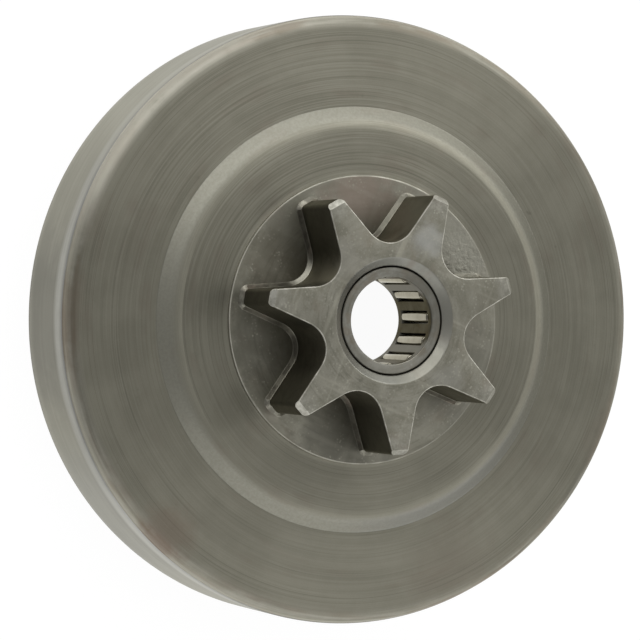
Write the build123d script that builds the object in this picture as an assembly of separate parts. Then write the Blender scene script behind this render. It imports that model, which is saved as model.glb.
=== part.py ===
from build123d import *
from math import cos, pi, radians, sin, sqrt, tan
import os

# Cup of the drum, open at z = 0, with the band outside and the shoe track inside
band_radius = 37.0
cup_wall = 3.0
cup_depth = 15.1
web_thickness = 3.4
corner_setback = 0.2
corner_height = 1.85
corner_run = 1.6
corner_cuts = 4
rim_chamfer = 0.4
track_corner_bevel = 1.2

# Dished shoulder and the turned ring inside it
shoulder_foot_radius = 25.8
shoulder_run = 2.2
shoulder_rise = 1.8
shoulder_ease = 0.45
shoulder_cuts = 2
hub_web_thickness = 3.5

# Spur sprocket standing on a low round boss
tooth_count = 7
tip_radius = 15.9
tip_land = 1.9
flank_angle = 13.5
valley_radius = 3.4
tip_corner_round = 0.4
tip_bevel = 0.6
sprocket_width = 9.25
tooth_foot_bevel = 0.5
boss_margin = 1.57
boss_height = 0.3

# Bore for a needle cage that runs on a ten millimetre crank stub
shaft_radius = 5.0
bore_radius = 6.5
bore_mouth_bevel = 1.0
bore_inner_bevel = 0.5

# Needle cage and its rollers
roller_count = 12
roller_length = 7.5
roller_clearance = 0.02
cage_length = 10.0
cage_depth = 0.95
cage_shaft_gap = 0.22
cage_bore_gap = 0.15
cage_edge_bevel = 0.12
cage_turn = 11.8
pocket_clearance = 0.06
pocket_end_clearance = 0.1
pocket_lip = 0.12

# Heights and radii that follow from the sizes above
track_radius = band_radius - cup_wall
corner_radius = band_radius - corner_setback
band_top = cup_depth - corner_height
track_floor = cup_depth - web_thickness
shoulder_top_radius = shoulder_foot_radius - shoulder_run
shoulder_slant = sqrt(shoulder_run**2 + shoulder_rise**2)
ring_height = cup_depth + shoulder_rise
boss_radius = tip_radius + boss_margin
boss_top = ring_height + boss_height
hub_floor = boss_top - hub_web_thickness
dish_slope = shoulder_run / shoulder_rise
dish_foot_radius = shoulder_foot_radius - web_thickness
dish_top_radius = dish_foot_radius - (hub_floor - track_floor) * dish_slope
sprocket_top = boss_top + sprocket_width
roller_radius = (bore_radius - shaft_radius) / 2 - roller_clearance
pitch_radius = (bore_radius + shaft_radius) / 2
cage_inner_radius = shaft_radius + cage_shaft_gap
cage_outer_radius = bore_radius - cage_bore_gap
cage_top = sprocket_top - cage_depth
cage_middle = cage_top - cage_length / 2

edge_tolerance = 0.001
on_base = (Align.CENTER, Align.CENTER, Align.MIN)


def vertex_at(shape, x, y):
    return shape.vertices().sort_by_distance((x, y, 0))[0]


def eased_corner(start, corner, end, cuts):
    # Points from start to end of a corner that is rounded by a few straight cuts
    towards_start = Vector(start) - Vector(corner)
    towards_end = Vector(end) - Vector(corner)
    points = []
    for index in range(cuts + 1):
        turn = index / cuts * pi / 2
        points.append(Vector(corner) + towards_start * (1 - sin(turn)) + towards_end * (1 - cos(turn)))
    return points


def cup_section():
    # Half section of the turned cup, radius along X and height along Y
    outer_corner = eased_corner(
        (corner_radius, band_top),
        (corner_radius, cup_depth),
        (corner_radius - corner_run, cup_depth),
        corner_cuts,
    )
    shoulder_corner = eased_corner(
        (
            shoulder_top_radius + shoulder_ease * shoulder_run / shoulder_slant,
            ring_height - shoulder_ease * shoulder_rise / shoulder_slant,
        ),
        (shoulder_top_radius, ring_height),
        (shoulder_top_radius - shoulder_ease, ring_height),
        shoulder_cuts,
    )
    section = make_face(
        Polyline(
            (0, hub_floor),
            (dish_top_radius, hub_floor),
            (dish_foot_radius, track_floor),
            (track_radius, track_floor),
            (track_radius, 0),
            (band_radius, 0),
            (band_radius, band_top),
            *outer_corner,
            (shoulder_foot_radius, cup_depth),
            *shoulder_corner,
            (boss_radius, ring_height),
            (boss_radius, boss_top),
            (0, boss_top),
            close=True,
        )
    )
    section = chamfer(vertex_at(section, track_radius, track_floor), track_corner_bevel)
    section = chamfer(vertex_at(section, track_radius, 0), rim_chamfer)
    return chamfer(vertex_at(section, band_radius, 0), rim_chamfer)


def tooth_valley():
    # Gap between two teeth along +X: two straight flanks joined by a round root
    flank = radians(flank_angle)
    half_opening = flank + pi / tooth_count
    flank_offset = tip_radius * sin(flank) + tip_land / 2 * cos(flank)
    apex = flank_offset / sin(half_opening)
    root = apex + valley_radius / sin(half_opening) - valley_radius
    tangent = valley_radius / tan(half_opening)
    reach = 2 * tip_radius
    inner_x = apex + tangent * cos(half_opening)
    inner_y = tangent * sin(half_opening)
    outer_x = apex + reach * cos(half_opening)
    outer_y = reach * sin(half_opening)
    flanks = Polyline((inner_x, inner_y), (outer_x, outer_y), (outer_x, -outer_y), (inner_x, -inner_y))
    return make_face(flanks + ThreePointArc((inner_x, -inner_y), (root, 0), (inner_x, inner_y)))


def sprocket_section():
    # The first tooth points along +X
    valley = tooth_valley()
    teeth = Sketch() + Circle(tip_radius)
    for index in range(tooth_count):
        teeth -= Rot(Z=(index + 0.5) * 360 / tooth_count) * valley
    tips = [v for v in teeth.vertices() if Vector(v.X, v.Y).length > tip_radius - tip_corner_round]
    return fillet(tips, tip_corner_round)


def sprocket():
    # Rooted inside the boss, with its tips turned to a cone at the front
    root_height = sprocket_top - ring_height
    blank = extrude(Pos(Z=ring_height) * sprocket_section(), root_height)
    turned = Pos(Z=ring_height) * Cylinder(tip_radius, root_height - tip_bevel, align=on_base)
    turned += Pos(Z=sprocket_top - tip_bevel) * Cone(
        tip_radius, tip_radius - tip_bevel, tip_bevel, align=on_base
    )
    return blank & turned


def bore_cutter():
    straight = Pos(Z=hub_floor) * Cylinder(bore_radius, sprocket_top - hub_floor, align=on_base)
    mouth = Pos(Z=sprocket_top - bore_mouth_bevel) * Cone(
        bore_radius, bore_radius + bore_mouth_bevel, bore_mouth_bevel, align=on_base
    )
    back = Pos(Z=hub_floor) * Cone(
        bore_radius + bore_inner_bevel, bore_radius, bore_inner_bevel, align=on_base
    )
    return straight + mouth + back


def is_tooth_foot(edge):
    # An edge where the sprocket's outline meets the top of the boss
    middle = edge @ 0.5
    reach = sqrt(middle.X**2 + middle.Y**2)
    return abs(middle.Z - boss_top) < edge_tolerance and reach < tip_radius + edge_tolerance


def clutch_drum():
    cup = revolve(Plane.XZ * cup_section(), Axis.Z)
    drum = cup + sprocket()
    drum = chamfer([edge for edge in drum.edges() if is_tooth_foot(edge)], tooth_foot_bevel)
    return drum - bore_cutter()


def pocket_angle(index):
    # A bar of the cage lies at zero, and the first pocket half a step on
    return (index + 0.5) * 360 / roller_count


def lip_opening(lip_radius):
    # Width between two lips that leaves the roller free and keeps it in its pocket
    roller_chord = 2 * sqrt(roller_radius**2 - (lip_radius - pitch_radius) ** 2)
    return roller_chord + 2 * pocket_clearance


def roller_pocket():
    # The pocket along +X is narrower at the inside and the outside, where its lips are
    inner_lip = cage_inner_radius + pocket_lip
    outer_lip = cage_outer_radius - pocket_lip
    width = 2 * (roller_radius + pocket_clearance)
    length = roller_length + 2 * pocket_end_clearance
    from_inside = (Align.MIN, Align.CENTER, Align.CENTER)
    pocket = Pos(X=inner_lip) * Box(outer_lip - inner_lip, width, length, align=from_inside)
    pocket += Pos(X=shaft_radius) * Box(
        pitch_radius - shaft_radius, lip_opening(inner_lip), length, align=from_inside
    )
    pocket += Pos(X=pitch_radius) * Box(
        bore_radius - pitch_radius, lip_opening(outer_lip), length, align=from_inside
    )
    return pocket


def needle_cage():
    ring = Cylinder(cage_outer_radius, cage_length) - Cylinder(cage_inner_radius, cage_length)
    ring = chamfer(ring.edges().filter_by(GeomType.CIRCLE), cage_edge_bevel)
    pocket = roller_pocket()
    for index in range(roller_count):
        ring -= Rot(Z=pocket_angle(index)) * pocket
    return Pos(Z=cage_middle) * Rot(Z=cage_turn) * ring


def needle_roller(index):
    turn = Rot(Z=cage_turn + pocket_angle(index))
    return Pos(Z=cage_middle) * turn * Pos(X=pitch_radius) * Cylinder(roller_radius, roller_length)


parts = {"clutch_drum": clutch_drum(), "needle_cage": needle_cage()}
for index in range(roller_count):
    parts[f"needle_roller_{index + 1:02d}"] = needle_roller(index)

os.makedirs("parts", exist_ok=True)
for name, shape in parts.items():
    export_step(shape, f"parts/{name}.step")
    print(name, round(shape.volume, 2), shape.bounding_box().size)
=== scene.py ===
import bmesh
import bpy
from math import atan2, cos, hypot, pi, radians, sin, tan
from mathutils import Matrix, Vector


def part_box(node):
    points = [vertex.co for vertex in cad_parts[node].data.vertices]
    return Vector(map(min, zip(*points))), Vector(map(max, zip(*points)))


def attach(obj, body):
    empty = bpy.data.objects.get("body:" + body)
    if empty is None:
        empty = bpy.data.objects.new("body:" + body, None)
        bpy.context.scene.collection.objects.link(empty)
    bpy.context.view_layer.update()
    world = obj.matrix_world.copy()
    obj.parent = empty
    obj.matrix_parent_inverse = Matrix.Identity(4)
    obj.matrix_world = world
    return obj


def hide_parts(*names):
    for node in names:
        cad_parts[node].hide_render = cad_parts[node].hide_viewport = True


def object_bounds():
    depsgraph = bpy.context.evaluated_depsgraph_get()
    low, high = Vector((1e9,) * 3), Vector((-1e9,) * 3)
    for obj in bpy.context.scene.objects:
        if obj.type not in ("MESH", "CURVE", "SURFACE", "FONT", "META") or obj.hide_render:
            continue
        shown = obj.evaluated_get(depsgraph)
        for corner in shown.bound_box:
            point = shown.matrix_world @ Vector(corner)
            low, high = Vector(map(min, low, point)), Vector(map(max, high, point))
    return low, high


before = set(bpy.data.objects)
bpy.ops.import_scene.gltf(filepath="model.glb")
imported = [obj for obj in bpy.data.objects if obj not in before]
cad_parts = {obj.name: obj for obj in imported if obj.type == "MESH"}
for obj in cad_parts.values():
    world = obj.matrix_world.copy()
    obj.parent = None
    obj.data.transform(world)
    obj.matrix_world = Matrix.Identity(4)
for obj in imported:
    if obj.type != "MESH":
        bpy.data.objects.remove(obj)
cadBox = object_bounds()  # box of the solids
mm = 0.001
scene = bpy.context.scene


# node helpers

colourMix = {"factor": 0, "first": 6, "second": 7, "result": 2}  # sockets of a Mix node that mixes colours
noiseMiddle = 0.5  # noise swings about this value


def feed(tree, value, socket):
    if isinstance(value, bpy.types.NodeSocket):
        tree.links.new(value, socket)
    else:
        socket.default_value = value


def addNode(tree, kind, settings=None, sockets=None):
    node = tree.nodes.new(kind)
    for name, value in (settings or {}).items():
        setattr(node, name, value)
    for name, value in (sockets or {}).items():
        feed(tree, value, node.inputs[name])
    return node


def maths(tree, operation, *values):
    node = addNode(tree, "ShaderNodeMath", {"operation": operation}, dict(enumerate(values)))
    return node.outputs[0]


def vectorMaths(tree, operation, *values):
    return addNode(tree, "ShaderNodeVectorMath", {"operation": operation}, dict(enumerate(values)))


def remap(tree, value, low, high, newLow=0.0, newHigh=1.0):
    settings = {"interpolation_type": "SMOOTHSTEP"}
    sockets = {"Value": value, "From Min": low, "From Max": high, "To Min": newLow, "To Max": newHigh}
    return addNode(tree, "ShaderNodeMapRange", settings, sockets).outputs["Result"]


def blendColours(tree, factor, first, second):
    node = addNode(tree, "ShaderNodeMix", {"data_type": "RGBA"}, {colourMix["factor"]: factor})
    for value, index in ((first, colourMix["first"]), (second, colourMix["second"])):
        feed(tree, value if isinstance(value, bpy.types.NodeSocket) else (*value, 1.0), node.inputs[index])
    return node.outputs[colourMix["result"]]


def noise(tree, vector, scale, detail, roughness=0.55):
    sockets = {"Vector": vector, "Scale": scale, "Detail": detail, "Roughness": roughness}
    return addNode(tree, "ShaderNodeTexNoise", None, sockets).outputs["Fac"]


def newGroup(name, inputs, outputs):
    tree = bpy.data.node_groups.new(name, "ShaderNodeTree")
    for socketName, value in inputs.items():
        socket = tree.interface.new_socket(socketName, in_out="INPUT", socket_type="NodeSocketFloat")
        socket.default_value = value
    for socketName in outputs:
        tree.interface.new_socket(socketName, in_out="OUTPUT", socket_type="NodeSocketFloat")
    return tree, tree.nodes.new("NodeGroupInput"), tree.nodes.new("NodeGroupOutput")


def useGroup(tree, group, values):
    return addNode(tree, "ShaderNodeGroup", {"node_tree": group}, values).outputs


def objectCoords(tree):
    return addNode(tree, "ShaderNodeTexCoord").outputs["Object"]


def flatten(tree, place):
    return vectorMaths(tree, "MULTIPLY", place, (1, 1, 0)).outputs[0]


# shared effects, each with its values above it

ringMarks = {
    "fine": {"scale": 1.0, "detail": 2.0, "roughness": 0.6},
    "broad": {"scale": 0.13, "detail": 3.0, "roughness": 0.6},
    "groups": {"scale": 0.09, "detail": 1.0}, "groupRange": (0.46, 0.62),
    "lines": {"scale": 1.35, "detail": 1.0}, "lineRange": (0.54, 0.66),
}


def makeTurningMarks():
    # concentric tool marks: they run round the axis and step along the cut
    tree, given, result = newGroup(
        "turningMarks", {"Rings": 3000.0, "Drift": 1.0}, ("Fine", "Broad", "Lines", "Along")
    )
    place = objectCoords(tree)
    flat = flatten(tree, place)
    radius = vectorMaths(tree, "LENGTH", flat).outputs["Value"]
    split = addNode(tree, "ShaderNodeSeparateXYZ", None, {0: place})
    along = maths(tree, "SUBTRACT", radius, split.outputs["Z"])
    around = vectorMaths(tree, "NORMALIZE", flat).outputs[0]
    sockets = {0: around, "Scale": given.outputs["Drift"]}
    drift = addNode(tree, "ShaderNodeVectorMath", {"operation": "SCALE"}, sockets)
    steps = maths(tree, "MULTIPLY", along, given.outputs["Rings"])
    lift = addNode(tree, "ShaderNodeCombineXYZ", None, {"Z": steps})
    spot = vectorMaths(tree, "ADD", drift.outputs[0], lift.outputs[0]).outputs[0]
    fine = noise(tree, spot, **ringMarks["fine"])
    broad = noise(tree, spot, **ringMarks["broad"])
    grouped = remap(tree, noise(tree, spot, **ringMarks["groups"]), *ringMarks["groupRange"])
    lines = remap(tree, noise(tree, spot, **ringMarks["lines"]), *ringMarks["lineRange"])
    lines = maths(tree, "MULTIPLY", lines, grouped)
    for socketName, value in (("Fine", fine), ("Broad", broad), ("Lines", lines), ("Along", along)):
        tree.links.new(value, result.inputs[socketName])
    return tree


mottleCloud = {"detail": 5.0, "roughness": 0.62}


def makeMottle():
    # soft uneven patches in the skin of the steel
    tree, given, result = newGroup("skinMottle", {"Scale": 200.0, "Low": 0.4, "High": 0.6}, ("Mask",))
    cloud = noise(tree, objectCoords(tree), given.outputs["Scale"], **mottleCloud)
    mask = remap(tree, cloud, given.outputs["Low"], given.outputs["High"])
    tree.links.new(mask, result.inputs["Mask"])
    return tree


pitCells = {"smooth": 0.6, "range": (0.12, 0.42), "patchScale": 0.23, "patchDetail": 3.0, "patchTop": 0.85}


def makePits():
    # small dents or specks, in some places more than others
    tree, given, result = newGroup("skinPits", {"Scale": 1500.0, "Amount": 0.5}, ("Mask",))
    place = objectCoords(tree)
    sockets = {"Vector": place, "Smoothness": pitCells["smooth"], "Scale": given.outputs["Scale"]}
    cells = addNode(tree, "ShaderNodeTexVoronoi", {"feature": "SMOOTH_F1"}, sockets)
    pit = remap(tree, cells.outputs["Distance"], *pitCells["range"], 1.0, 0.0)
    patchScale = maths(tree, "MULTIPLY", given.outputs["Scale"], pitCells["patchScale"])
    patchLow = maths(tree, "SUBTRACT", pitCells["patchTop"], given.outputs["Amount"])
    spread = noise(tree, place, patchScale, pitCells["patchDetail"])
    patch = remap(tree, spread, patchLow, pitCells["patchTop"])
    tree.links.new(maths(tree, "MULTIPLY", pit, patch), result.inputs["Mask"])
    return tree


scratchLines = {
    "ways": ((0.5, (0.06, 1.0, 0.06)), (2.1, (1.0, 0.05, 1.0))),  # turn and stretch
    "detail": 2.0, "range": (0.56, 0.72),
}


def makeScratches():
    # fine straight handling marks in two directions
    tree, given, result = newGroup("handlingMarks", {"Scale": 900.0}, ("Mask",))
    marks = []
    for turn, stretch in scratchLines["ways"]:
        sockets = {"Vector": objectCoords(tree), "Rotation": (0, 0, turn), "Scale": stretch}
        turned = addNode(tree, "ShaderNodeMapping", None, sockets).outputs[0]
        streaks = noise(tree, turned, given.outputs["Scale"], scratchLines["detail"])
        marks.append(remap(tree, streaks, *scratchLines["range"]))
    tree.links.new(maths(tree, "MAXIMUM", *marks), result.inputs["Mask"])
    return tree


spotBorder = {"scale": 480.0, "detail": 4.0, "range": (0.25, 1.0)}


def makeSpot():
    # one ragged patch at a place on the drum, seen along the axis
    tree, given, result = newGroup(
        "raggedSpot", {"X": 0.0, "Y": 0.0, "Reach": 0.002, "Ragged": 1.3}, ("Mask",)
    )
    place = objectCoords(tree)
    flat = flatten(tree, place)
    sockets = {"X": given.outputs["X"], "Y": given.outputs["Y"]}
    centre = addNode(tree, "ShaderNodeCombineXYZ", None, sockets)
    distance = vectorMaths(tree, "DISTANCE", flat, centre.outputs[0]).outputs["Value"]
    share = maths(tree, "DIVIDE", distance, given.outputs["Reach"])
    uneven = noise(tree, place, spotBorder["scale"], spotBorder["detail"])
    uneven = maths(tree, "SUBTRACT", uneven, noiseMiddle)
    border = maths(tree, "MULTIPLY_ADD", uneven, given.outputs["Ragged"], share)
    tree.links.new(remap(tree, border, *spotBorder["range"], 1.0, 0.0), result.inputs["Mask"])
    return tree


turningMarks = makeTurningMarks()
skinMottle = makeMottle()
skinPits = makePits()
handlingMarks = makeScratches()
raggedSpot = makeSpot()
print("shared effects built")


# finishes: colours are linear, scales per metre, places and relief in mm
# along is radius less height: grooves and painted highlight lines are (along, half width, amount), and over
# edgeSpan the edge skin takes over
# spots are (x, y, reach, colour, amount), crisp is (x, y, reach, share away, share there)

plainSteel = {
    "dark": (0.150, 0.145, 0.114), "light": (0.200, 0.193, 0.154), "stain": (0.158, 0.128, 0.102),
    "sheen": (1.0, 0.985, 0.90), "metal": 1.0, "rough": 0.42, "brushed": 0.0,
    "rings": 3600.0, "drift": 2.2, "ringTone": 0.5, "ringRelief": 0.0, "lines": 0.0, "crisp": None,
    "patchScale": 420.0, "patchRange": (0.35, 0.65), "grain": 0.25,
    "stainRange": (0.54, 0.72), "stainAmount": 0.3,
    "pits": 0.0, "pitRelief": 0.0, "hammered": None, "specks": 0.0, "scratch": 0.0,
    "grooves": (), "highlightLines": (), "spots": (), "spotRagged": 1.3,
    "edge": None, "edgeSpan": (0.0, 1.0),
}
# corner of the face: its light colour, its pale line by the step and its two pale spots are painted
# highlight; the brown spots are stains
cornerSkin = {
    **plainSteel, "dark": (0.185, 0.178, 0.140), "light": (0.320, 0.309, 0.264),
    "stain": (0.165, 0.124, 0.088), "stainRange": (0.44, 0.60), "stainAmount": 0.4,
    "rings": 1300.0, "drift": 2.6, "ringTone": 0.85, "lines": 0.4, "highlightLines": ((23.2, 1.4, 0.35),),
    "spots": (
        (-6.0, 36.0, 6.0, (0.110, 0.100, 0.060), 0.2), (-14.0, 33.0, 7.0, (0.140, 0.102, 0.068), 0.4),
        (-33.7, 12.8, 4.0, (0.140, 0.085, 0.062), 0.5), (20.0, 30.5, 11.0, (0.330, 0.318, 0.272), 0.6),
        (5.0, 36.0, 15.0, (0.335, 0.324, 0.276), 0.65),
    ),
}
paintedRootHighlights = (  # painted highlights in the roots of some valleys, where light is reflected
    (2.3, 9.7, 2.6, (0.270, 0.261, 0.218), 0.85), (13.0, 1.5, 4.2, (0.170, 0.164, 0.134), 0.7),
    (9.6, -11.4, 5.0, (0.148, 0.143, 0.118), 0.9),
)
dentedPlace = (11.4, -9.6, 7.0, 0.048)  # x, y, reach and relief
faceSkin = {
    **plainSteel, "dark": (0.172, 0.166, 0.131), "light": (0.236, 0.228, 0.184),
    "rough": 0.44, "brushed": 0.9, "rings": 4800.0, "drift": 1.5, "ringTone": 0.75, "ringRelief": 0.004,
    "lines": 0.25, "crisp": (14.0, 14.0, 27.0, 0.6, 1.7), "patchScale": 130.0, "stainAmount": 0.2,
    "specks": 0.12, "pits": 0.2, "pitRelief": 0.003,
    "grooves": (
        (10.72, 0.10, 0.25), (11.5, 0.05, 0.25), (18.7, 0.06, 0.35), (19.3, 0.05, 0.3), (6.1, 0.06, 0.3),
        (1.35, 0.05, 0.35), (1.9, 0.07, 0.4), (3.1, 0.05, 0.25), (4.2, 0.09, 0.25), (13.4, 0.06, 0.2),
        (16.2, 0.05, 0.25),
    ),
    "spots": (
        (-32.4, 12.6, 4.5, (0.165, 0.118, 0.090), 0.35), (-24.0, -24.0, 9.0, (0.155, 0.130, 0.104), 0.25),
    ),
}
# top of the wall: lighter as a painted highlight band under the step; its broad groove is painted shade
# along the step and its pale spots are painted light
wallEdge = {
    **plainSteel, "dark": (0.226, 0.226, 0.214), "light": (0.284, 0.284, 0.272),
    "rings": 1400.0, "drift": 0.6, "ringTone": 0.6, "stainAmount": 0.1,
    "grooves": ((23.75, 1.1, 0.4),), "spotRagged": 0.3,
    "spots": (
        (-35.4, 10.6, 19.0, (0.385, 0.385, 0.372), 0.85), (20.0, 31.0, 24.0, (0.285, 0.281, 0.256), 0.9),
    ),
}
# darker floor towards the middle of the boss: partly stain, partly painted shade between the teeth
stainAndShadeFloor = {
    **plainSteel, "dark": (0.076, 0.071, 0.054), "light": (0.132, 0.124, 0.099),
    "stain": (0.095, 0.078, 0.060), "rings": 900.0, "drift": 4.0, "ringTone": 0.3,
    "patchScale": 330.0, "grain": 0.5, "specks": 0.3,
}
tipWear = {
    **plainSteel, "dark": (0.178, 0.173, 0.142), "light": (0.268, 0.261, 0.223),
    "ringTone": 0.2, "patchScale": 900.0, "grain": 0.7, "specks": 0.5,
}
drumFinishes = {
    "turnedFace": {**faceSkin, "edge": cornerSkin, "edgeSpan": (19.9, 21.4)},
    "bandWall": {
        **plainSteel, "dark": (0.178, 0.174, 0.147), "light": (0.212, 0.208, 0.177),
        "stain": (0.136, 0.122, 0.100), "stainAmount": 0.15,
        "rough": 0.36, "rings": 1400.0, "drift": 0.6, "patchScale": 60.0,
        "edge": wallEdge, "edgeSpan": (27.2, 25.4), "spotRagged": 0.3,
        # the dark spot is painted shade on the left of the wall; the two lighter spots are painted light at
        # the upper left and lower left
        "spots": (
            (-14.3, 34.1, 15.0, (0.100, 0.098, 0.087), 0.85),
            (14.0, 34.2, 13.0, (0.245, 0.240, 0.204), 0.6),
            (-33.5, 15.8, 15.0, (0.214, 0.214, 0.206), 0.75),
        ),
    },
    "forgedShoulder": {
        **plainSteel, "dark": (0.190, 0.186, 0.153), "light": (0.220, 0.216, 0.181),
        "metal": 0.85, "rough": 0.47, "rings": 900.0, "drift": 1.5, "ringTone": 0.45,
        "patchScale": 3000.0, "grain": 0.2, "stainAmount": 0.15,
        "pits": 0.15, "pitRelief": 0.003, "specks": 0.15,
        "edge": faceSkin, "edgeSpan": (8.3, 6.9), "grooves": ((10.70, 0.10, 0.25),), "spotRagged": 0.3,
        # the darker spot at the right is painted shade on the shoulder's slope
        "spots": (
            (14.0, -21.6, 16.0, (0.160, 0.156, 0.127), 0.5),
            (-14.8, -19.5, 19.0, (0.190, 0.189, 0.176), 0.6),
        ),
    },
    "bossFloor": {
        **plainSteel, "dark": (0.172, 0.166, 0.132), "light": (0.226, 0.219, 0.180), "rough": 0.40,
        "rings": 1800.0, "drift": 3.0, "lines": 0.25, "stainAmount": 0.25, "grain": 0.5,
        "pits": 0.3, "pitRelief": 0.01, "specks": 0.4, "scratch": 0.12, "hammered": dentedPlace,
        # the grey dark spots are painted shade on the floor between the teeth; the reddish spot is a stain
        "spots": (
            (13.4, 6.0, 6.5, (0.245, 0.195, 0.162), 0.6), (11.9, -9.0, 6.5, (0.250, 0.245, 0.207), 0.7),
            (6.6, 14.3, 3.0, (0.240, 0.232, 0.190), 0.4), (2.5, 14.0, 5.0, (0.105, 0.096, 0.072), 0.55),
            (-7.5, 12.5, 7.5, (0.080, 0.077, 0.062), 0.6), (-14.6, -3.6, 8.5, (0.110, 0.106, 0.088), 0.75),
            (-1.9, -15.2, 10.0, (0.128, 0.124, 0.104), 0.6),
        ),
        # towards the middle the darker edge skin takes over, partly stain and partly painted shade
        "edge": stainAndShadeFloor, "edgeSpan": (-2.5, -8.5),
    },
    "toothFlank": {
        **plainSteel, "dark": (0.086, 0.081, 0.062), "light": (0.140, 0.132, 0.104),
        "stain": (0.062, 0.055, 0.043), "stainAmount": 0.4,
        "rough": 0.38, "rings": 500.0, "drift": 6.0, "ringTone": 0.4,
        # the light spots are painted reflections of light in the valley roots
        "spots": (
            (13.2, 1.6, 4.5, (0.250, 0.241, 0.198), 0.6), (2.3, 9.0, 2.8, (0.270, 0.256, 0.208), 0.8),
        ),
    },
    "footBand": {
        **plainSteel, "dark": (0.034, 0.031, 0.024), "light": (0.064, 0.060, 0.047), "ringTone": 0.3,
        "rough": 0.46, "patchScale": 900.0, "spots": paintedRootHighlights, "hammered": dentedPlace,
    },
    "footLine": {
        **plainSteel, "dark": (0.052, 0.049, 0.038), "light": (0.110, 0.105, 0.085), "ringTone": 0.3,
        "patchScale": 500.0, "spots": paintedRootHighlights, "hammered": dentedPlace,
    },
    "footWear": {
        **plainSteel, "dark": (0.110, 0.105, 0.086), "light": (0.235, 0.227, 0.190), "ringTone": 0.1,
        "patchScale": 800.0, "patchRange": (0.42, 0.66),
    },
    "toothFace": {
        **plainSteel, "dark": (0.155, 0.150, 0.119), "light": (0.226, 0.219, 0.182),
        "stain": (0.176, 0.155, 0.120), "rough": 0.44, "brushed": 0.4, "grain": 0.7,
        "rings": 2600.0, "drift": 3.0, "ringTone": 0.4, "ringRelief": 0.002, "lines": 0.25,
        "specks": 0.5, "scratch": 0.4, "pits": 0.3, "pitRelief": 0.006,
        "spots": (
            (10.4, -0.3, 2.6, (0.330, 0.335, 0.322), 0.5), (4.3, 8.7, 3.0, (0.310, 0.300, 0.262), 0.35),
            (-3.7, -9.0, 2.6, (0.300, 0.296, 0.270), 0.3), (6.1, -11.5, 5.5, (0.150, 0.143, 0.112), 0.5),
        ),
        "edge": tipWear, "edgeSpan": (-13.3, -11.7),
    },
    "tipCone": {
        **plainSteel, "dark": (0.210, 0.205, 0.175), "light": (0.340, 0.334, 0.295), "rough": 0.44,
        "ringTone": 0.2, "patchScale": 900.0, "grain": 0.6,
    },
    "brightEdge": {
        **plainSteel, "dark": (0.290, 0.282, 0.240), "light": (0.540, 0.528, 0.468),
        "stain": (0.220, 0.204, 0.168), "rough": 0.4, "ringTone": 0.15,
        "patchScale": 900.0, "patchRange": (0.40, 0.64),
    },
    "thinLine": {
        **plainSteel, "dark": (0.240, 0.233, 0.196), "light": (0.450, 0.438, 0.378), "ringTone": 0.2,
        "patchScale": 260.0, "spotRagged": 0.4,
        # the line is bright at the boss edge; the darker spots paint it shaded at the right and lower
        # right, away from the light
        "spots": (
            (10.7, -13.8, 13.0, (0.185, 0.180, 0.150), 0.9),
            (-5.0, -16.7, 15.0, (0.185, 0.180, 0.150), 0.75),
        ),
    },
    "boreBevel": {
        **plainSteel, "dark": (0.158, 0.157, 0.136), "light": (0.216, 0.214, 0.190), "rough": 0.4,
        "brushed": 0.4, "drift": 1.0, "lines": 0.25, "specks": 0.15, "spotRagged": 0.3,
        # the light spots are painted highlights round the bevel
        "spots": (
            (3.2, -6.4, 5.0, (0.320, 0.314, 0.275), 0.65), (-3.4, -6.4, 5.5, (0.240, 0.232, 0.192), 0.4),
            (-3.9, 6.1, 6.0, (0.265, 0.254, 0.216), 0.75),
        ),
    },
    # the riser of the raised boss is dark as painted shade under its edge
    "shadedBossRiser": {**plainSteel, "dark": (0.070, 0.066, 0.052), "light": (0.110, 0.104, 0.084), "rough": 0.5},
    "cupInside": {
        **plainSteel, "brushed": 0.6, "rings": 2400.0, "ringTone": 0.8, "ringRelief": 0.003, "lines": 0.3,
        "stainAmount": 0.4,
    },
    "shoeTrack": {
        **plainSteel, "dark": (0.210, 0.205, 0.178), "light": (0.330, 0.324, 0.290), "rough": 0.32,
        "brushed": 0.7, "rings": 3200.0, "drift": 1.2, "ringTone": 0.7, "ringRelief": 0.002, "lines": 0.3,
        "stainAmount": 0.25,
    },
}
skinValues = {  # the same for every finish
    "arcRings": 420.0, "arcDrift": 3.5, "grainScale": 4500.0, "grainDetail": 2.0,
    "bandShare": 0.2, "bandRange": (0.2, 0.8), "ringShare": 0.8, "ringRange": (0.25, 0.75),
    "crispRagged": 0.3, "deepShare": 0.5, "paleShare": 1.5,
    "scratchScale": 700.0, "speckScale": 2600.0, "speckAmount": 0.8,
    "glossTones": (0.2, 0.8), "dullBy": 0.03, "shineBy": 0.02, "brushTurn": 0.25,
    "pitScale": 1500.0, "pitAmount": 0.3, "pitDull": 0.12,
    "dentScale": 1700.0, "dentDetail": 2.0, "dentRange": (0.3, 0.7), "dentRagged": 0.6,
}


def scaled(colour, share):
    return tuple(share * part for part in colour)


def paint(tree, colour, mask, amount, over):
    return blendColours(tree, maths(tree, "MULTIPLY", mask, amount), colour, over)


def spotMask(tree, x, y, reach, ragged):
    values = {"X": x * mm, "Y": y * mm, "Reach": reach * mm, "Ragged": ragged}
    return useGroup(tree, raggedSpot, values)["Mask"]


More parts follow.
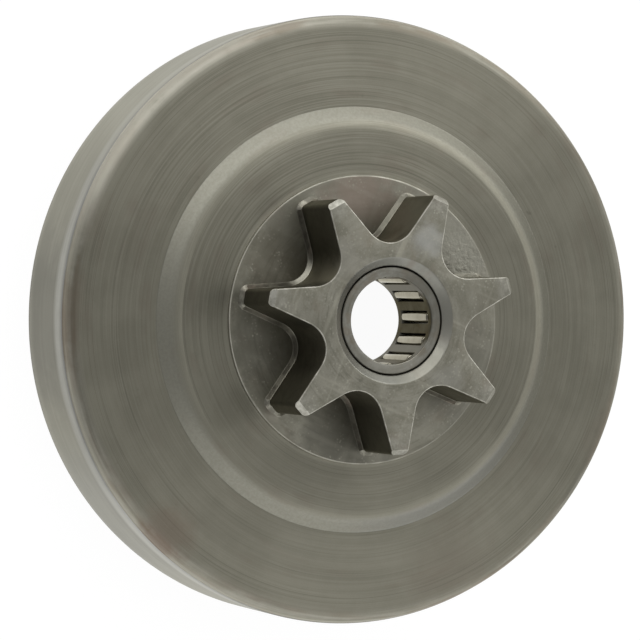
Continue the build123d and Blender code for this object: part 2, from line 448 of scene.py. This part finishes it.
def addSkin(tree, look):
    # colour and tone of one skin: bands, rings and patches, then stains, lines, spots and marks
    v = skinValues
    marks = useGroup(tree, turningMarks, {"Rings": look["rings"], "Drift": look["drift"]})
    arcs = useGroup(tree, turningMarks, {"Rings": v["arcRings"], "Drift": v["arcDrift"]})
    low, high = look["patchRange"]
    patch = useGroup(tree, skinMottle, {"Scale": look["patchScale"], "Low": low, "High": high})["Mask"]
    ringTone = look["ringTone"]
    bands = remap(tree, marks["Broad"], *v["bandRange"])
    bands = maths(tree, "MULTIPLY", bands, v["bandShare"] * ringTone)
    rings = remap(tree, marks["Fine"], *v["ringRange"])
    rings = maths(tree, "MULTIPLY", rings, v["ringShare"] * ringTone)
    cut = maths(tree, "ADD", bands, rings)
    if look["crisp"]:  # turning marks show more round one place
        x, y, reach, away, there = look["crisp"]
        share = remap(tree, spotMask(tree, x, y, reach, v["crispRagged"]), 0.0, 1.0, away, there)
        swing = maths(tree, "SUBTRACT", cut, ringTone / 2)
        cut = maths(tree, "MULTIPLY_ADD", swing, share, ringTone / 2)
    tone = maths(tree, "MULTIPLY_ADD", patch, 1.0 - ringTone, cut)
    grain = noise(tree, objectCoords(tree), v["grainScale"], v["grainDetail"])
    grain = maths(tree, "SUBTRACT", grain, noiseMiddle)
    tone = maths(tree, "MULTIPLY_ADD", grain, look["grain"], tone)
    colour = blendColours(tree, tone, look["dark"], look["light"])
    stain = remap(tree, arcs["Fine"], *look["stainRange"])
    colour = paint(tree, colour, stain, look["stainAmount"], look["stain"])
    deep = scaled(look["dark"], v["deepShare"])
    pale = scaled(look["light"], v["paleShare"])
    if look["lines"]:
        colour = paint(tree, colour, marks["Lines"], look["lines"], deep)
    # grooves are painted dark, and the pale lines are painted highlight
    for rows, tint in ((look["grooves"], deep), (look["highlightLines"], pale)):
        for along, halfWidth, amount in rows:
            offset = maths(tree, "ABSOLUTE", maths(tree, "SUBTRACT", marks["Along"], along * mm))
            line = remap(tree, offset, 0.0, halfWidth * mm, 1.0, 0.0)
            colour = paint(tree, colour, line, amount, tint)
    for x, y, reach, spotColour, amount in look["spots"]:
        colour = paint(tree, colour, spotMask(tree, x, y, reach, look["spotRagged"]), amount, spotColour)
    if look["scratch"]:
        scratch = useGroup(tree, handlingMarks, {"Scale": v["scratchScale"]})["Mask"]
        colour = paint(tree, colour, scratch, look["scratch"], pale)
    if look["specks"]:
        specks = useGroup(tree, skinPits, {"Scale": v["speckScale"], "Amount": look["specks"]})["Mask"]
        colour = paint(tree, colour, specks, v["speckAmount"], pale)
    return colour, tone, marks


def steelFinish(name, look):
    v = skinValues
    material = bpy.data.materials.new(name)
    material.use_nodes = True
    tree = material.node_tree
    shader = tree.nodes["Principled BSDF"]
    shader.inputs["Metallic"].default_value = look["metal"]
    shader.inputs["Specular Tint"].default_value = (*look["sheen"], 1.0)
    colour, tone, marks = addSkin(tree, look)
    if look["edge"]:  # the colour of another skin takes over along the cut
        edgeColour = addSkin(tree, look["edge"])[0]
        start, end = look["edgeSpan"]
        share = remap(tree, marks["Along"], start * mm, end * mm)
        colour = blendColours(tree, share, colour, edgeColour)
    gloss = remap(tree, tone, *v["glossTones"], look["rough"] + v["dullBy"], look["rough"] - v["shineBy"])
    height = maths(tree, "MULTIPLY", marks["Fine"], look["ringRelief"] * mm)
    if look["pits"]:
        pits = useGroup(tree, skinPits, {"Scale": v["pitScale"], "Amount": look["pits"]})["Mask"]
        colour = paint(tree, colour, pits, v["pitAmount"], scaled(look["dark"], v["deepShare"]))
        gloss = maths(tree, "MULTIPLY_ADD", pits, v["pitDull"], gloss)
        height = maths(tree, "MULTIPLY_ADD", pits, -look["pitRelief"] * mm, height)
    if look["hammered"]:  # small dents, crowded round one place
        x, y, reach, relief = look["hammered"]
        here = spotMask(tree, x, y, reach, v["dentRagged"])
        dents = noise(tree, objectCoords(tree), v["dentScale"], v["dentDetail"])
        dents = maths(tree, "MULTIPLY", remap(tree, dents, *v["dentRange"]), here)
        height = maths(tree, "MULTIPLY_ADD", dents, relief * mm, height)
    tree.links.new(colour, shader.inputs["Base Color"])
    tree.links.new(gloss, shader.inputs["Roughness"])
    if look["ringRelief"] or look["pits"] or look["hammered"]:
        bump = addNode(tree, "ShaderNodeBump", None, {"Strength": 1.0, "Distance": 1.0, "Height": height})
        tree.links.new(bump.outputs["Normal"], shader.inputs["Normal"])
    if look["brushed"]:  # gloss spreads across the turning marks
        shader.inputs["Anisotropic"].default_value = look["brushed"]
        shader.inputs["Anisotropic Rotation"].default_value = v["brushTurn"]
        tangent = addNode(tree, "ShaderNodeTangent", {"direction_type": "RADIAL", "axis": "Z"})
        tree.links.new(tangent.outputs["Tangent"], shader.inputs["Tangent"])
    return material


# mesh helpers, all in millimetres until the mesh is finished

tolerance = {"merge": 0.001, "close": 0.0005, "cut": 0.0001, "near": 0.01, "upright": 0.1, "level": 0.99}


def wire(bm, points):
    verts = [bm.verts.new(point) for point in points]
    for first, second in zip(verts, verts[1:]):
        bm.edges.new((first, second))
    return verts


def roundVerts(bm, verts, reach, segments):
    bmesh.ops.bevel(
        bm, geom=verts, offset=reach, offset_type="ABSOLUTE", segments=segments, profile=0.5,
        affect="VERTICES", clamp_overlap=False, material=-1,
    )


def bevelEdges(bm, edges, reach, segments):
    return bmesh.ops.bevel(
        bm, geom=edges, offset=reach, offset_type="OFFSET", segments=segments, profile=0.5,
        affect="EDGES", clamp_overlap=True, material=-1,
    )["faces"]


def turnRound(bm, steps):
    bmesh.ops.spin(
        bm, geom=bm.verts[:] + bm.edges[:], cent=(0, 0, 0), axis=(0, 0, 1), angle=2 * pi, steps=steps,
        use_merge=True,
    )


def vertAt(bm, x, z):
    return min(bm.verts, key=lambda v: hypot(v.co.x - x, v.co.z - z) + abs(v.co.y))


def markSharp(bm, angle):
    for edge in bm.edges:
        edge.smooth = len(edge.link_faces) == 2 and edge.calc_face_angle() < angle


def toMesh(bm, name):
    mesh = bpy.data.meshes.new(name)
    bm.to_mesh(mesh)
    bm.free()
    return mesh


def addObject(name, data):
    piece = bpy.data.objects.new(name, data)
    scene.collection.objects.link(piece)
    return piece


def finishPiece(bm, name, body, materials, nodes):
    bmesh.ops.scale(bm, vec=(mm, mm, mm), verts=bm.verts)
    for face in bm.faces:
        face.smooth = True
    openEdges = sum(not edge.is_manifold for edge in bm.edges)
    mesh = toMesh(bm, name)
    for material in materials:
        mesh.materials.append(material)
    piece = addObject(name, mesh)
    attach(piece, body)
    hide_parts(*nodes)
    print(name, "faces", len(mesh.polygons), "open edges", openEdges)


# clutch drum: cup, web, boss and spur sprocket in one piece

drumSizes = {
    "bandRadius": cadBox[1].x / mm, "wall": 3.0, "depth": 15.1, "web": 3.4,
    "cornerSetback": 0.2, "cornerHeight": 1.85, "cornerRun": 1.6, "cornerSegments": 10,
    "stepEase": 0.12, "stepInnerRound": 0.12, "stepOuterRound": 0.15, "rimChamfer": 0.4, "trackRound": 1.2,
    "shoulderFoot": 25.8, "shoulderRun": 2.2, "shoulderRise": 1.8, "shoulderEase": 1.1, "creaseEase": 0.05,
    "bossRadius": 17.47, "bossHeight": 0.3, "bossBevel": 0.17,
    "hubWeb": 3.5, "dishTop": 19.96, "dishFoot": 22.4, "dishRound": 0.5,
    "boreRadius": 6.5, "boreMouth": 1.0, "boreBack": 0.5, "edgeBreak": 0.08,
    "turnSteps": 288, "longEdge": 1.0, "longCuts": 7, "sharpAngle": radians(26),
    "stub": 0.3,  # short flats that the fills are sewn to
}
sprocketSizes = {
    "teeth": 7, "tipRadius": 15.9, "tipLand": 1.9, "flankAngle": radians(13.5),
    "valleyRadius": 3.4, "valleySegments": 20, "tipCorner": 0.5, "tipSegments": 8,
    "tipBevel": 0.62, "slantLength": 0.3, "slantSegments": 4,
    "frontEdge": 0.13, "tipEdge": 0.14, "edgeSegments": 2,
    "footSteps": ((0.08, 0.05), (0.34, 0.36), (0.08, 0.09)),  # run and rise of the band and its lines
    "footWorn": 0.2,  # how far in from the tips the foot is worn
}
sprocketTop = cadBox[1].z / mm
ringHeight = drumSizes["depth"] + drumSizes["shoulderRise"]
bossTop = ringHeight + drumSizes["bossHeight"]
zoneIndex = {name: index for index, name in enumerate(drumFinishes)}


def setZone(faces, zone):
    for face in faces:
        face.material_index = zoneIndex[zone]


def frontFace(bm):
    return max(bm.faces, key=lambda face: face.calc_area() if face.normal.z > tolerance["level"] else 0)


def addSprocket(bm):
    s = sprocketSizes
    teeth, flank = s["teeth"], s["flankAngle"]
    foot = sum(run for run, rise in s["footSteps"])
    halfOpening = flank + pi / teeth
    # sharp outline of one tooth at its widened foot: valley, tip, tip, valley
    flankOffset = s["tipRadius"] * sin(flank) + s["tipLand"] / 2 * cos(flank) + foot
    apex = flankOffset / sin(halfOpening)
    tipX = s["tipRadius"] + foot
    tipY = s["tipLand"] / 2 + foot * (1 - sin(flank)) / cos(flank)
    valleyX, valleyY = apex * cos(pi / teeth), apex * sin(pi / teeth)
    outline = ((valleyX, -valleyY), (tipX, -tipY), (tipX, tipY), (valleyX, valleyY))
    verts = wire(bm, [(x, y, bossTop) for x, y in outline])
    bmesh.ops.spin(
        bm, geom=verts + bm.edges[:], cent=(0, 0, 0), axis=(0, 0, 1), angle=2 * pi * (teeth - 1) / teeth,
        steps=teeth - 1, use_duplicate=True,
    )
    bmesh.ops.remove_doubles(bm, verts=bm.verts, dist=tolerance["merge"])
    bmesh.ops.contextual_create(bm, geom=bm.edges[:])
    valleys = [v for v in bm.verts if v.co.xy.length < (apex + tipX) / 2]
    roundVerts(bm, valleys, (s["valleyRadius"] - foot) / tan(halfOpening), s["valleySegments"])
    tips = [v for v in bm.verts if v.co.xy.length > tipX - tolerance["near"]]
    roundVerts(bm, tips, (s["tipCorner"] + foot) * tan((pi / 2 - flank) / 2), s["tipSegments"])
    bmesh.ops.recalc_face_normals(bm, faces=bm.faces)
    face = bm.faces[:][0]
    if face.normal.z < 0:
        face.normal_flip()
    # foot band between two fine lines, then the straight flanks
    wornFrom = s["tipRadius"] - s["footWorn"]
    for zone, (run, rise) in zip(("footLine", "footBand", "footLine"), s["footSteps"]):
        band = bmesh.ops.inset_individual(bm, faces=[face], thickness=run, depth=rise, use_even_offset=True)
        setZone(band["faces"], zone)
        setZone([f for f in band["faces"] if f.calc_center_median().xy.length > wornFrom], "footWear")
    top = bmesh.ops.extrude_discrete_faces(bm, faces=[face])["faces"][0]
    bmesh.ops.translate(bm, vec=(0, 0, sprocketTop - top.verts[0].co.z), verts=top.verts)
    setZone([f for f in bm.faces if abs(f.normal.z) < tolerance["upright"]], "toothFlank")
    # tips turned to a cone at the front
    facets = []
    for index in range(teeth):
        turn = 2 * pi * index / teeth
        outward = Vector((cos(turn), sin(turn), 0))
        start = outward * (s["tipRadius"] - s["tipBevel"]) + Vector((0, 0, sprocketTop))
        cut = bmesh.ops.bisect_plane(
            bm, geom=bm.verts[:] + bm.edges[:] + bm.faces[:], dist=tolerance["cut"], plane_co=start,
            plane_no=outward + Vector((0, 0, 1)), clear_outer=True,
        )
        rim = [e for e in cut["geom_cut"] if isinstance(e, bmesh.types.BMEdge)]
        facets += bmesh.ops.contextual_create(bm, geom=rim)["faces"]
    bmesh.ops.recalc_face_normals(bm, faces=bm.faces)
    setZone(facets, "tipCone")
    slants = [
        e for f in facets for e in f.edges
        if abs(e.verts[0].co.z - e.verts[1].co.z) > s["slantLength"]
    ]
    bevelEdges(bm, slants, s["tipCorner"], s["slantSegments"])
    # bright edges round the front, between the flanks and the tips too
    cone = zoneIndex["tipCone"]
    sides = [e for e in frontFace(bm).edges if all(f.material_index != cone for f in e.link_faces)]
    setZone(bevelEdges(bm, sides, s["frontEdge"], s["edgeSegments"]), "brightEdge")
    border = {cone, zoneIndex["toothFlank"]}
    rims = [e for e in bm.edges if {f.material_index for f in e.link_faces} == border]
    setZone(bevelEdges(bm, rims, s["tipEdge"], s["edgeSegments"]), "brightEdge")
    bmesh.ops.delete(bm, geom=[frontFace(bm)], context="FACES_ONLY")


def addCup(bm):
    d = drumSizes
    outer, depth, edge, stub, ease = d["bandRadius"], d["depth"], d["edgeBreak"], d["stub"], d["stepEase"]
    track, corner = outer - d["wall"], outer - d["cornerSetback"]
    bandTop, floor = depth - d["cornerHeight"], depth - d["web"]
    shoulderTop = d["shoulderFoot"] - d["shoulderRun"]
    hubFloor = bossTop - d["hubWeb"]
    bore, mouth, back = d["boreRadius"], d["boreMouth"], d["boreBack"]
    profile = [
        (d["bossRadius"] - stub, bossTop), (d["bossRadius"], bossTop), (d["bossRadius"], ringHeight),
        (shoulderTop, ringHeight), (d["shoulderFoot"], depth), (corner - d["cornerRun"], depth),
        (corner, depth), (corner, bandTop + ease), (outer, bandTop - ease), (outer, 0), (track, 0),
        (track, floor), (d["dishFoot"], floor), (d["dishTop"], hubFloor),
        (bore + back, hubFloor), (bore, hubFloor + back), (bore, sprocketTop - mouth),
        (bore + mouth, sprocketTop), (bore + mouth + stub, sprocketTop),
    ]
    cup = bmesh.new()
    wire(cup, [(x, 0, z) for x, z in profile])
    rounds = [  # x, z, reach and segments
        (d["bossRadius"], bossTop, d["bossBevel"], 2), (d["bossRadius"], ringHeight, edge, 2),
        (shoulderTop, ringHeight, d["shoulderEase"], 6), (d["shoulderFoot"], depth, d["creaseEase"], 4),
        (corner, depth, d["cornerRun"], d["cornerSegments"]),
        (corner, bandTop + ease, d["stepInnerRound"], 3), (outer, bandTop - ease, d["stepOuterRound"], 3),
        (outer, 0, d["rimChamfer"], 3), (track, 0, d["rimChamfer"], 3), (track, floor, d["trackRound"], 8),
        (d["dishFoot"], floor, d["dishRound"], 4), (d["dishTop"], hubFloor, d["dishRound"], 4),
        (bore + back, hubFloor, edge, 2), (bore, hubFloor + back, edge, 2),
        (bore, sprocketTop - mouth, edge, 2), (bore + mouth, sprocketTop, edge, 2),
    ]
    for x, z, reach, segments in rounds:
        roundVerts(cup, [vertAt(cup, x, z)], reach, segments)
    longEdges = [e for e in cup.edges if e.calc_length() > d["longEdge"]]
    bmesh.ops.subdivide_edges(cup, edges=longEdges, cuts=d["longCuts"])
    turnRound(cup, d["turnSteps"])
    mesh = toMesh(cup, "cup")
    bm.from_mesh(mesh)
    bpy.data.meshes.remove(mesh)


zoneMargins = {  # how far each surface of the cup reaches past its sizes, and shares of some sizes
    "hub": 0.6, "wallShare": 0.5, "web": 0.5, "upright": 0.3, "band": 0.1,
    "crease": 0.01, "creaseTop": 0.004, "ring": 0.002, "easeShare": 0.27,
    "mouth": 0.02, "mouthShare": 1.2, "front": 0.05, "frontLine": 0.04,
    "bossFoot": 0.02, "bossSlant": 0.2, "bossFloor": 0.1,
}


def drumZone(face):
    d, m = drumSizes, zoneMargins
    place, normal = face.calc_center_median(), face.normal
    radius, height = place.xy.length, place.z
    outer, depth = d["bandRadius"], d["depth"]
    corner = outer - d["cornerSetback"]
    bandTop = depth - d["cornerHeight"]
    shoulderTop = d["shoulderFoot"] - d["shoulderRun"]
    mouth = d["boreRadius"] + d["boreMouth"]
    insideTop = min(bossTop - d["hubWeb"] + m["hub"], depth - m["web"])
    if height < insideTop and radius < outer - m["wallShare"] * d["wall"]:
        onTrack = abs(normal.z) < m["upright"] and radius > d["dishFoot"]
        return "shoeTrack" if onTrack else "cupInside"
    if radius > outer - m["band"] and height < bandTop - m["band"]:
        return "bandWall"
    if radius > corner - d["cornerRun"] and height > bandTop - m["band"]:
        return "bandWall" if radius > corner + m["band"] else "turnedFace"
    onShoulder = depth - m["crease"] < height < ringHeight - m["ring"]
    if onShoulder and radius > shoulderTop - m["easeShare"] * d["shoulderEase"]:
        return "turnedFace" if height < depth + m["creaseTop"] else "forgedShoulder"
    if radius < mouth - m["mouth"]:
        return "boreBevel" if height > sprocketTop - m["mouthShare"] * d["boreMouth"] else "cupInside"
    if height > sprocketTop - m["front"]:
        return "thinLine" if radius < mouth + m["frontLine"] else "toothFace"
    if radius > d["bossRadius"] - d["bossBevel"] and height > ringHeight + m["bossFoot"]:
        return "thinLine" if normal.z > m["bossSlant"] else "shadedBossRiser"
    return "bossFloor" if height > ringHeight + m["bossFloor"] else "turnedFace"


def buildDrum():
    bm = bmesh.new()
    addSprocket(bm)
    made = set(bm.faces)
    addCup(bm)
    for height in (bossTop, sprocketTop):
        rims = [
            e for e in bm.edges
            if e.is_boundary and all(abs(v.co.z - height) < tolerance["close"] for v in e.verts)
        ]
        bmesh.ops.triangle_fill(bm, edges=rims, use_beauty=True, normal=(0, 0, 1))
    bmesh.ops.recalc_face_normals(bm, faces=bm.faces)
    for face in bm.faces:
        if face not in made:
            face.material_index = zoneIndex[drumZone(face)]
    markSharp(bm, drumSizes["sharpAngle"])
    materials = [steelFinish(name, look) for name, look in drumFinishes.items()]
    finishPiece(bm, "drum", "drum", materials, ["clutch_drum"])


# needle bearing: a cage with a window for each roller

cageSizes = {
    "inner": 5.17, "outer": 6.35, "edgeBevel": 0.16, "edgeSegments": 4,
    "windowEnd": 1.15, "stepsPerWindow": 24, "halfWindow": 7,
    "windowEdge": 0.04, "windowSegments": 2, "windowAngle": radians(60),
    "insideDepth": 0.02, "sharpAngle": radians(30),
}
cageFinishes = {
    "cageRing": {
        **plainSteel, "dark": (0.140, 0.136, 0.113), "light": (0.225, 0.221, 0.196), "rough": 0.4,
        "brushed": 0.4, "drift": 1.5, "ringTone": 0.6, "lines": 0.35, "specks": 0.3, "grain": 0.6,
        "patchScale": 600.0, "stain": (0.150, 0.130, 0.098), "stainRange": (0.48, 0.66), "stainAmount": 0.5,
        # the dark spot is painted shade at the right of the ring, the light one painted light at the bottom
        "spots": (
            (4.6, -3.5, 7.0, (0.105, 0.103, 0.088), 0.55), (-5.1, -2.7, 5.5, (0.240, 0.232, 0.197), 0.45),
        ),
    },
    # inside of the cage: olive steel, made darker still as painted shade for the dark it reflects in the
    # bore; the two pale spots are painted highlights on the upper and lower bars
    "cageInside": {
        **plainSteel, "dark": (0.052, 0.048, 0.036), "light": (0.104, 0.098, 0.078), "rough": 0.3,
        "drift": 4.0, "sheen": (0.52, 0.50, 0.44), "stain": (0.062, 0.047, 0.031), "stainAmount": 0.5,
        "spotRagged": 0.4,
        "spots": (
            (4.95, -1.5, 2.2, (0.235, 0.234, 0.222), 0.9), (-2.0, -4.75, 2.2, (0.235, 0.233, 0.216), 0.9),
        ),
    },
}
rollerSizes = {"endRound": 0.2, "endSegments": 4, "turnSteps": 40, "play": 0.03, "sharpAngle": radians(40)}
rollerLook = {
    **plainSteel, "dark": (0.235, 0.217, 0.168), "light": (0.340, 0.320, 0.260),
    "stain": (0.215, 0.183, 0.130), "rough": 0.08, "rings": 2500.0, "drift": 5.0, "ringTone": 0.4,
}
rollerNodes = sorted(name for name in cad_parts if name.startswith("needle_roller"))


def nodeCentre(node):
    low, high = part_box(node)
    return (low + high) / 2 / mm


def buildCage():
    c = cageSizes
    low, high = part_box("needle_cage")
    bottom, top = low.z / mm, high.z / mm
    windowLow, windowHigh = bottom + c["windowEnd"], top - c["windowEnd"]
    count = len(rollerNodes)
    bm = bmesh.new()
    section = [
        (c["inner"], bottom), (c["inner"], windowLow), (c["inner"], windowHigh), (c["inner"], top),
        (c["outer"], top), (c["outer"], windowHigh), (c["outer"], windowLow), (c["outer"], bottom),
    ]
    first = nodeCentre(rollerNodes[0])
    start = atan2(first.y, first.x)
    verts = wire(bm, [(r * cos(start), r * sin(start), z) for r, z in section])
    bm.edges.new((verts[-1], verts[0]))
    corners = [v for v in verts if min(abs(v.co.z - bottom), abs(v.co.z - top)) < tolerance["near"]]
    roundVerts(bm, corners, c["edgeBevel"], c["edgeSegments"])
    steps = count * c["stepsPerWindow"]
    turnRound(bm, steps)
    # windows: the faces over each roller are taken out and the two walls joined
    stepAngle = 2 * pi / steps
    openings = {index: [] for index in range(count)}
    for face in bm.faces:
        place = face.calc_center_median()
        if windowLow < place.z < windowHigh:
            turn = (atan2(place.y, place.x) - start) / stepAngle
            nearest = round(turn / c["stepsPerWindow"])
            if abs(turn - nearest * c["stepsPerWindow"]) < c["halfWindow"]:
                openings[nearest % count].append(face)
    for faces in openings.values():
        inside = set(faces)
        rim = [e for f in faces for e in f.edges if not all(g in inside for g in e.link_faces)]
        bmesh.ops.delete(bm, geom=faces, context="FACES")
        rim = [e for e in rim if e.is_valid]
        bmesh.ops.bridge_loops(bm, edges=rim)
    bmesh.ops.recalc_face_normals(bm, faces=bm.faces)
    sharp = [
        e for e in bm.edges
        if len(e.link_faces) == 2 and e.calc_face_angle() > c["windowAngle"]
        and all(v.co.xy.length < c["inner"] + tolerance["near"] for v in e.verts)
    ]
    bevelEdges(bm, sharp, c["windowEdge"], c["windowSegments"])
    for face in bm.faces:  # the ring's finish is first, the inside's second
        face.material_index = face.calc_center_median().xy.length < c["inner"] + c["insideDepth"]
    markSharp(bm, c["sharpAngle"])
    materials = [steelFinish(name, look) for name, look in cageFinishes.items()]
    finishPiece(bm, "needleCage", "cage", materials, ["needle_cage"])


def buildRoller(node, material):
    r = rollerSizes
    low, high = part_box(node)
    radius, half = (high.x - low.x) / 2 / mm - r["play"], (high.z - low.z) / 2 / mm
    bm = bmesh.new()
    verts = wire(bm, [(0, 0, -half), (radius, 0, -half), (radius, 0, half), (0, 0, half)])
    roundVerts(bm, verts[1:3], r["endRound"], r["endSegments"])
    turnRound(bm, r["turnSteps"])
    bmesh.ops.remove_doubles(bm, verts=bm.verts, dist=tolerance["close"])
    bmesh.ops.recalc_face_normals(bm, faces=bm.faces)
    bmesh.ops.translate(bm, vec=nodeCentre(node), verts=bm.verts)
    markSharp(bm, r["sharpAngle"])
    number = node[-2:]
    finishPiece(bm, "needle" + number, "roller_" + number, [material], [node])


# floor, light and camera; the floor and the lights are in metres, the view in millimetres and degrees

stageSizes = {
    "reach": 1.5, "rise": 0.3, "sweep": 0.12, "sweepSegments": 8, "turnSteps": 96, "drop": 0.00002,
    "merge": 0.00001, "glow": 0.95, "shade": 0.07, "plain": 0.8,
}
softboxes = {
    "topSoftbox": {"swing": 22, "lift": 25, "distance": 0.55, "width": 1.7, "height": 0.46, "level": 2.3},
    "lowSoftbox": {"swing": 210, "lift": 22, "distance": 0.55, "width": 1.5, "height": 0.4, "level": 1.35},
    "sideSoftbox": {"swing": -48, "lift": 22, "distance": 0.6, "width": 0.7, "height": 0.4, "level": 0.8},
    "overSoftbox": {"swing": -67, "lift": 68, "distance": 0.8, "width": 0.9, "height": 0.9, "level": 0.56},
}
worldLevel = 0.40
view = {
    "aim": (-2.244, 5.320, 17.2), "distance": 395.65, "azimuth": 111.362, "elevation": 67.822,
    "roll": -91.534, "lens": 185.63, "sensor": 36.0,
}


def grey(level):
    return (level, level, level, 1.0)


def buildFloor():
    s = stageSizes
    bm = bmesh.new()
    verts = wire(bm, [(0, 0, -s["drop"]), (s["reach"], 0, -s["drop"]), (s["reach"], 0, s["rise"])])
    roundVerts(bm, [verts[1]], s["sweep"], s["sweepSegments"])
    turnRound(bm, s["turnSteps"])
    bmesh.ops.remove_doubles(bm, verts=bm.verts, dist=s["merge"])
    mesh = toMesh(bm, "floor")
    floor = addObject("floor", mesh)
    material = bpy.data.materials.new("paleFloor")
    material.use_nodes = True
    tree = material.node_tree
    tree.nodes.remove(tree.nodes["Principled BSDF"])
    # seen from the camera and in the steel it is near white and keeps the shadow, else it is plain pale
    ray = addNode(tree, "ShaderNodeLightPath").outputs
    seen = maths(tree, "MAXIMUM", ray["Is Camera Ray"], ray["Is Glossy Ray"])
    seen = maths(tree, "MAXIMUM", seen, ray["Is Transmission Ray"])
    glow = addNode(tree, "ShaderNodeEmission", None, {"Color": grey(1.0), "Strength": s["glow"]})
    shade = addNode(tree, "ShaderNodeBsdfDiffuse", None, {"Color": grey(s["shade"])})
    plain = addNode(tree, "ShaderNodeBsdfDiffuse", None, {"Color": grey(s["plain"])})
    lit = addNode(tree, "ShaderNodeAddShader", None, {0: glow.outputs[0], 1: shade.outputs[0]})
    sockets = {0: seen, 1: plain.outputs[0], 2: lit.outputs[0]}
    mix = addNode(tree, "ShaderNodeMixShader", None, sockets)
    tree.links.new(mix.outputs[0], tree.nodes["Material Output"].inputs["Surface"])
    mesh.materials.append(material)
    print("floor laid")


def direction(azimuth, elevation):
    a, e = radians(azimuth), radians(elevation)
    return Vector((cos(a) * cos(e), sin(a) * cos(e), sin(e)))


def buildLights():
    world = bpy.data.worlds.new("studio")
    world.use_nodes = True
    background = world.node_tree.nodes["Background"]
    background.inputs["Color"].default_value = grey(1.0)
    background.inputs["Strength"].default_value = worldLevel
    scene.world = world
    for name, box in softboxes.items():
        lamp = bpy.data.lights.new(name, "AREA")
        lamp.shape = "RECTANGLE"
        lamp.size, lamp.size_y = box["width"], box["height"]
        lamp.energy = box["level"] * pi * box["width"] * box["height"]
        holder = addObject(name, lamp)
        towards = direction(box["swing"], box["lift"])
        holder.location = towards * box["distance"] + Vector((0, 0, bossTop * mm))
        holder.rotation_euler = towards.to_track_quat("Z", "Y").to_euler()
    print("softboxes hung", len(softboxes))


def buildCamera():
    lens = bpy.data.cameras.new("camera")
    lens.lens, lens.sensor_width = view["lens"], view["sensor"]
    camera = addObject("camera", lens)
    back = direction(view["azimuth"], view["elevation"])
    aim = Vector(view["aim"]) * mm
    side = Vector((0, 0, 1)).cross(back).normalized()
    up = back.cross(side) * cos(radians(view["roll"])) + side * sin(radians(view["roll"]))
    axes = Matrix((up.cross(back), up, back)).transposed()
    camera.matrix_world = Matrix.Translation(aim + back * view["distance"] * mm) @ axes.to_4x4()
    scene.camera = camera
    print("camera set")


buildDrum()
buildCage()
rollerSteel = steelFinish("rollerSteel", rollerLook)
for node in rollerNodes:
    buildRoller(node, rollerSteel)
buildFloor()
buildLights()
buildCamera()
scene.view_settings.view_transform = "Standard"
